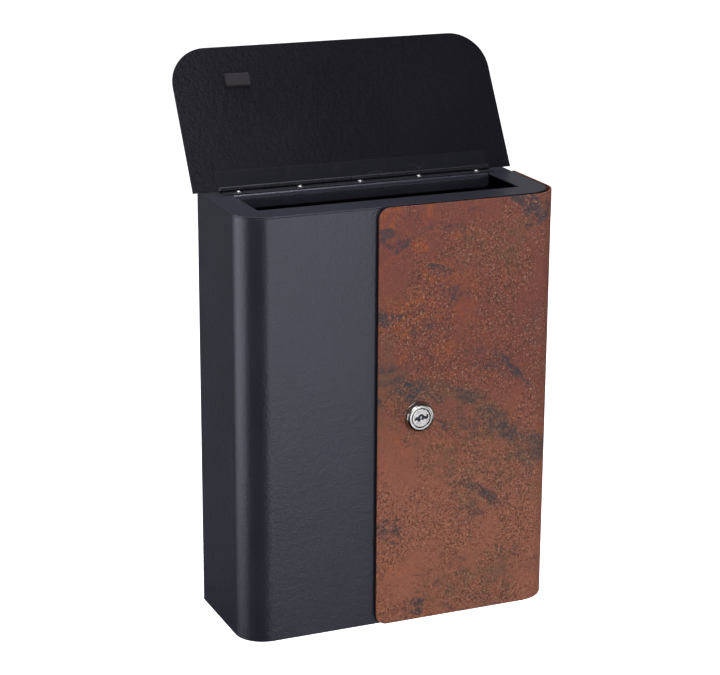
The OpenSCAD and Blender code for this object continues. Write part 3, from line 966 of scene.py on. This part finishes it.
@dataclass
class Lid:
    """The lid with its piano hinge and its pad."""

    shop: Workshop
    hinge: PianoHinge = PianoHinge(
        knuckles=19, pitch=14.3, knuckle_d=5.0, leaf_t=0.8, leaf_widths=(13.5, 17.5),
        leaf_edge=0.22, pin_d=3.3, pin_edge=0.1, rivets=5, rivet_end=16.0,
        rivet_row=7.2, rivet_h=1.4)
    thickness: float = 1.5
    front: float = 149.0
    lap: float = 0.4
    corner_r: float = 36.5
    corner_steps: int = 24
    pad_size: Place = (25.0, 13.0, 4.7)
    pad_inset: float = 49.5
    pad_front: float = 121.4
    pad_r: float = 1.6
    pad_taper: tuple[Point, ...] = ((0.0, 0.0), (0.55, 0.05), (0.85, 0.45), (1.0, 1.3))
    edge: float = 0.35
    pad_edge: float = 0.25

    def __post_init__(self) -> None:
        """Reads the hinge axis and the open angle from the frame."""
        self.axis = spot("lid_hinge")
        low, high = box("lid_plate")
        self.width = high.x - low.x
        self.hinge_place = Matrix.Translation(self.axis)
        self.place = self.hinge_place @ turned_about("X", -max(joint("lid_hinge")["range_deg"]))

    def build(self) -> None:
        """Makes the lid, its pad and its hinge."""
        self.plate()
        self.pad()
        self.hinge.build(self.shop, Body.LID, self.hinge_place, self.place, self.thickness)

    def plate(self) -> None:
        """The lid sheet with two rounded front corners."""
        front = -self.front - self.axis.y
        outline = rounded((-self.width / 2, front), (self.width / 2, self.lap),
                          [self.corner_r, self.corner_r, 0, 0], self.corner_steps)
        sheet = Shape().fill(outline, height=self.hinge.radius + self.thickness)
        # The lid wears the darker copy of the powder coat, which paints shade on its underside
        self.shop.add("lid_plate", sheet, Body.LID, "powder_coat", self.edge, self.place,
                      self.thickness, coat="lid_painted_shade_coat")

    def pad(self) -> None:
        """The rubber pad under the lid, narrower where it lands."""
        length, width, depth = self.pad_size
        left = self.pad_inset - self.width / 2
        front = -self.pad_front - self.axis.y
        levels = []
        for share, shrink in self.pad_taper:
            outline = rounded((left + shrink, front + shrink),
                              (left + length - shrink, front + width - shrink),
                              [self.pad_r - shrink * 0.5] * 4, 5)
            levels.append((self.hinge.radius - depth * share, outline))
        self.shop.add("lid_pad", Shape().stack(levels, True, True), Body.LID, "rubber",
                      self.pad_edge, self.place)


# ---- the door


@dataclass
class Door:
    """The wrap round door and its piano hinge."""

    shop: Workshop
    case: Case
    hinge: PianoHinge = PianoHinge(
        knuckles=25, pitch=15.0, knuckle_d=3.5, leaf_t=0.7, leaf_widths=(15.0, 15.0),
        leaf_edge=0.1, pin_d=2.0, pin_edge=0.08, rivets=6, rivet_end=37.5,
        rivet_row=8.5, rivet_h=1.1)
    thickness: float = 1.5
    corner_r: float = 11.0
    corner_steps: int = 12
    barrel_hole_d: float = 19.2
    edge: float = 0.4

    def __post_init__(self) -> None:
        """Reads the place of the door from the frame."""
        self.low, self.high = box("door_panel")
        self.lock = spot("lock_turn")
        radius = self.case.bend.radius + self.high.x - self.case.side_x
        self.bend = QuarterBend(radius, self.case.bend.steps)

    def build(self) -> None:
        """Makes the door and its hinge."""
        self.panel()
        place = Matrix.Translation(spot("door_hinge")) @ turned_about("Y", 90)
        self.hinge.build(self.shop, Body.DOOR, place, place, self.case.sheet)

    def panel(self) -> None:
        """The door sheet with four rounded corners and the hole for the lock."""
        corner = self.case.corner
        end = corner[0] + self.bend.length + self.high.y - corner[1]
        outline = rounded((self.low.x, self.low.z), (end, self.high.z), [self.corner_r] * 4,
                          self.corner_steps)
        hole = circle(self.barrel_hole_d / 2, 48, (self.lock.x, self.lock.z))
        sheet = Shape().fill(outline, hole).slice((1, 0, 0), self.bend.cuts(corner[0]))
        sheet.bend(lambda flat: self.bend.round_corner(corner, flat))
        self.shop.add("door_panel", sheet, Body.DOOR, "rust_coat", self.edge,
                      sheet=self.thickness)


# ---- the lock


@dataclass
class Lock:
    """The cylinder lock on the door, with its cam."""

    shop: Workshop
    bezel_d: float = 29.0
    face_d: float = 23.0
    face_break: float = 0.6
    foot_ledge: float = 0.4
    dome_gap: float = 1.0
    foot_h: float = 0.7
    bore_break: Point = (0.3, 0.35)
    head_d: float = 17.5
    head_t: float = 3.0
    head_gap: float = 0.5
    head_chamfer: float = 0.35
    plug_d: float = 13.0
    plug_gap: float = 0.05
    barrel_d: float = 19.0
    nut_gap: float = 0.1
    boss_w: float = 7.0
    cam_hole_w: float = 7.2
    square_r: float = 0.4
    cam_washer_bore: float = 4.2
    screw_d: float = 4.0
    screw_slot: float = 1.2
    steps: int = 96
    keyway_depth: float = 9.0
    keyway: tuple[Point, ...] = (
        (-7.0, -1.2), (-6.0, -2.1), (-3.9, -1.4), (-3.0, -3.2), (-1.5, -3.7), (-0.8, -1.8),
        (0.8, -1.3), (1.6, -2.6), (3.0, -1.1), (5.0, -1.5), (6.9, -0.5), (7.2, 2.5),
        (5.6, 2.7), (5.0, 0.9), (3.6, 1.3), (0.9, 3.7), (-0.9, 3.7), (-3.4, 1.2), (-5.6, 1.0))
    shutter_outline: tuple[Point, ...] = (
        (-1.3, -0.6), (-0.1, -0.9), (1.0, -0.5), (1.1, 1.0), (0.0, 1.9), (-1.0, 0.9))
    shutter_t: float = 0.45
    shutter_below: float = 0.2
    # Depth, gap and fit of the black fill that paints the shade inside the keyway
    shade_fill_below: float = 0.7
    shade_fill_gap: float = 0.1
    shade_fill_fit: Point = (0.985, 0.96)

    def __post_init__(self) -> None:
        """Reads the place of the lock from the frame."""
        self.axis = spot("lock_turn")
        low, high = box("lock_housing")
        self.bezel_front, self.barrel_end = low.y, high.y
        self.door_face = box("door_panel")[0].y
        low, high = box("lock_plug")
        self.plug_front, self.boss_end = low.y, high.y

    def on_axis(self, y: float) -> Matrix:
        """Turns a shape so that up points into the door, with its foot at y."""
        return Matrix.Translation((self.axis.x, y, self.axis.z)) @ turned_about("X", -90)

    def build(self) -> None:
        """Makes every piece of the lock."""
        self.housing()
        self.plug()
        self.shutter()
        self.fill_keyway_shade()
        self.washer("lock_washer", self.barrel_d + 2 * self.nut_gap, Body.DOOR, 0.15, 64)
        self.nut()
        self.washer("cam_washer", self.cam_washer_bore, Body.LOCK, 0.12, 48)
        self.screw()
        self.cam()

    def housing(self) -> None:
        """The domed bezel and the barrel, bored for the plug."""
        tall = self.door_face - self.bezel_front
        foot_r, barrel_r = self.bezel_d / 2, self.barrel_d / 2
        bore_r = self.head_d / 2 + self.head_gap
        plug_r = self.plug_d / 2 + self.plug_gap
        end = self.barrel_end - self.bezel_front
        seat = self.plug_front - self.bezel_front + self.head_t + self.head_gap
        face_r = self.face_d / 2 - self.face_break
        bulge = foot_r - self.foot_ledge - face_r
        turns = [math.radians(turn) for turn in range(0, 91, 9)]
        dome = [(face_r + bulge * math.sin(turn), (tall - self.dome_gap) * (1 - math.cos(turn)))
                for turn in turns]
        profile = [(bore_r, self.bore_break[1]), (bore_r + self.bore_break[0], 0.0), *dome,
                   (foot_r, tall - self.foot_h), (foot_r, tall), (barrel_r, tall),
                   (barrel_r, end), (plug_r, end), (plug_r, seat), (bore_r, seat)]
        ring = Shape().lathe(profile, self.steps, closed=True)
        self.shop.add("lock_housing", ring, Body.DOOR, "chrome", 0.15,
                      self.on_axis(self.bezel_front))

    def square(self, width: float) -> list[Point]:
        """Outline of the square of the boss, or of the hole that fits it."""
        half = width / 2
        return rounded((-half, -half), (half, half), [self.square_r] * 4, 3)

    def plug(self) -> None:
        """The plug with its face, its keyway and the boss for the cam."""
        head_r, body_r = self.head_d / 2, self.plug_d / 2
        face_r = head_r - self.head_chamfer
        length = self.barrel_end - self.plug_front
        keyway = [(x, -up) for x, up in self.keyway]
        outside = [(0, face_r), (self.head_chamfer, head_r), (self.head_t, head_r),
                   (self.head_t, body_r), (length, body_r)]
        boss = self.square(self.boss_w)
        shape = Shape().fill(circle(face_r, self.steps), keyway)
        shape.stack([(height, circle(radius, self.steps)) for height, radius in outside],
                    cap_last=True)
        shape.stack([(0.0, keyway), (self.keyway_depth, keyway)], cap_last=True)
        shape.stack([(length, boss), (self.boss_end - self.plug_front, boss)], True, True)
        self.shop.add("lock_plug", shape, Body.LOCK, "chrome", 0.12,
                      self.on_axis(self.plug_front))

    def shutter(self) -> None:
        """The dust shutter in the middle of the keyway."""
        outline = [(x, -up) for x, up in self.shutter_outline]
        self.shop.add("keyway_shutter", Shape().fill(outline).raise_by(self.shutter_t), Body.LOCK,
                      "zinc", 0.15, self.on_axis(self.plug_front + self.shutter_below))

    def fill_keyway_shade(self) -> None:
        """A black fill in the keyway, just behind the face of the plug: painted shade inside the
        keyway.
        """
        outline = [(x * self.shade_fill_fit[0], -up * self.shade_fill_fit[1]) for x, up in self.keyway]
        depth = self.keyway_depth - self.shade_fill_below - self.shade_fill_gap
        self.shop.add("keyway_shade_fill", Shape().fill(outline).raise_by(depth), Body.LOCK,
                      "hinge_black", 0.05, self.on_axis(self.plug_front + self.shade_fill_below),
                      replaces=False)

    def washer(self, name: str, bore_d: float, body: Body, edge: float, steps: int) -> None:
        """A flat washer, as wide and as thick as its CAD node.

        Args:
            name: Name of the washer.
            bore_d: Diameter of its hole.
            body: The body that it moves with.
            edge: Width of its broken edges, in millimetres.
            steps: Steps round it.
        """
        low, high = box(name)
        bore, radius, depth = bore_d / 2, (high.x - low.x) / 2, high.y - low.y
        ring = Shape().lathe([(bore, 0), (radius, 0), (radius, depth), (bore, depth)], steps, True)
        self.shop.add(name, ring, body, "zinc", edge, self.on_axis(low.y))

    def nut(self) -> None:
        """The nut that holds the barrel in the door."""
        low, high = box("lock_nut")
        hexagon = circle((high.x - low.x) / 2, 6)
        bore = circle(self.barrel_d / 2 + self.nut_gap, 48)
        self.shop.add("lock_nut", Shape().fill(hexagon, bore).raise_by(high.y - low.y), Body.DOOR,
                      "zinc", 0.4, self.on_axis(low.y))

    def screw(self) -> None:
        """The slotted screw that holds the cam."""
        low, high = box("cam_screw")
        seat = box("cam_washer")[1].y
        head_r = (high.x - low.x) / 2
        jaw_h = (high.y - seat) / 2
        shank_r = self.screw_d / 2
        body = Shape().lathe([(shank_r, low.y - seat), (shank_r, 0), (head_r, 0),
                              (head_r, jaw_h)], 48)
        edge_turn = math.degrees(math.asin(self.screw_slot / 2 / head_r))
        half = arc((0.0, 0.0), head_r, edge_turn, 180 - edge_turn, 24)
        for side in (0, 180):
            body.join(Shape().fill(half, height=jaw_h).raise_by(jaw_h), turned_about("Z", side))
        self.shop.add("cam_screw", body, Body.LOCK, "zinc", 0.2, self.on_axis(seat))

    def cam(self) -> None:
        """The cam, which points down when the lock is open."""
        low, high = box("lock_cam")
        half = (high.x - low.x) / 2
        tip = arc((0.0, self.axis.z - low.z - half), half, 0, 180, 20)
        heel = arc((0.0, 0.0), half, 180, 360, 20)
        plate = Shape().fill([*tip, *heel], self.square(self.cam_hole_w))
        self.shop.add("lock_cam", plate.raise_by(high.y - low.y), Body.LOCK, "zinc", 0.25,
                      self.on_axis(low.y))


# ---- studio


@dataclass(frozen=True)
class SoftLight:
    """A rectangular studio light that faces the mailbox. Azimuth 0 is in front of it."""

    name: str
    azimuth: float
    elevation: float
    distance: float
    width: float
    height: float
    power: float
    colour: Place = (0.94, 0.94, 1.12)

    def build(self, target: Vector) -> None:
        """Hangs the light, facing the target."""
        data = bpy.data.lights.new(self.name, "AREA")
        data.shape = "RECTANGLE"
        data.size = self.width
        data.size_y = self.height
        data.energy = self.power
        data.color = self.colour
        light = bpy.data.objects.new(self.name, data)
        light.visible_camera = False
        light.matrix_world = (
            Matrix.Translation(target) @ turned_about("Z", self.azimuth)
            @ turned_about("X", 90 - self.elevation) @ Matrix.Translation((0, 0, self.distance)))
        bpy.context.scene.collection.objects.link(light)


@dataclass
class Studio:
    """The pale floor, the surroundings, the lights and the camera."""

    floor_drop: float = 160.0
    floor_r: float = 6000.0
    cove_r: float = 2500.0
    wall_h: float = 9000.0
    floor_glow: float = 1.1
    lights: tuple[SoftLight, ...] = (
        SoftLight("left_box", -104, -4, 1.7, 1.50, 1.25, 14),
        SoftLight("front_box", 13, -4, 2.3, 0.92, 1.60, 14.5),
        SoftLight("right_box", 60, -3, 2.2, 1.5, 1.4, 11),
        SoftLight("high_box", -25, 44, 2.2, 1.4, 1.4, 19),
        SoftLight("rear_box", 180, 72, 2.0, 1.2, 1.0, 24),
        SoftLight("back_box", 165, -14, 2.2, 1.6, 1.2, 13),
    )
    light_target: Place = (0.0, -0.06, 0.0)
    room_bands: tuple[Point, ...] = (
        (0.10, 0.01), (0.28, 0.07), (0.45, 0.28), (0.75, 0.30), (0.93, 0.10), (1.0, 0.03))
    room_strength: float = 0.8
    camera_place: Place = (-0.7797, -1.8267, 0.6388)
    yaw: float = 23.335
    pitch: float = 16.649
    roll: float = 0.328
    lens: float = 108.54
    sensor: float = 36.0

    def build(self) -> None:
        """Builds the studio."""
        bpy.context.scene.view_settings.view_transform = "Standard"
        self.floor()
        self.surroundings()
        for light in self.lights:
            light.build(Vector(self.light_target))
        self.camera()

    def floor(self) -> None:
        """The pale floor under the mailbox, which rises into a pale wall all round."""
        level = cad_box[0][2] / MM - self.floor_drop
        cove = arc((self.floor_r, self.cove_r), self.cove_r, -90, 0, 16)
        profile = [(radius, level + rise) for radius, rise in cove]
        profile.append((self.floor_r + self.cove_r, level + self.wall_h))
        levels = [(height, circle(radius, 96)) for radius, height in profile]
        floor = Shape().stack(levels, cap_first=True).piece("floor", solid=False)
        graph = Graph(bpy.data.materials.new("floor_paper"))
        tone = graph.blend(graph.noise(3.0) * 0.2, shade("#f4f4f4"), shade("#eeeeee"))
        floor.data.materials.append(graph.surface({
            "Base Color": tone, "Roughness": 0.9, "Emission Color": shade("#ffffff"),
            "Emission Strength": self.floor_glow}))
        floor.visible_glossy = False
        floor.visible_diffuse = False
        floor.visible_shadow = False

    def surroundings(self) -> None:
        """A room that is white at the horizon and dark overhead and underfoot."""
        world = bpy.data.worlds.new("studio")
        bpy.context.scene.world = world
        graph = Graph(world, "Generated")
        stops = [(height, (level, level, level, 1.0)) for height, level in self.room_bands]
        room = graph.node("ShaderNodeValToRGB", {"stops": stops}, {0: graph.along("Z") + 0.5})
        graph.end("World", graph.node("ShaderNodeBackground", {},
                                      {"Color": room, "Strength": self.room_strength}))

    def camera(self) -> None:
        """The camera, to the left of the front and a little above."""
        data = bpy.data.cameras.new("camera")
        data.lens = self.lens
        data.sensor_width = self.sensor
        camera = bpy.data.objects.new("camera", data)
        camera.matrix_world = (
            Matrix.Translation(self.camera_place) @ turned_about("Z", -self.yaw)
            @ turned_about("X", 90 - self.pitch) @ turned_about("Z", self.roll))
        bpy.context.scene.collection.objects.link(camera)
        bpy.context.scene.camera = camera


def main() -> None:
    """Builds the studio and the mailbox."""
    logging.basicConfig(level=logging.INFO, format="%(name)s: %(message)s")
    Studio().build()
    shop = Workshop()
    case = Case(shop)
    case.build()
    Lid(shop).build()
    Door(shop, case).build()
    Lock(shop).build()
    bpy.context.view_layer.update()


if __name__ == "__main__":
    main()
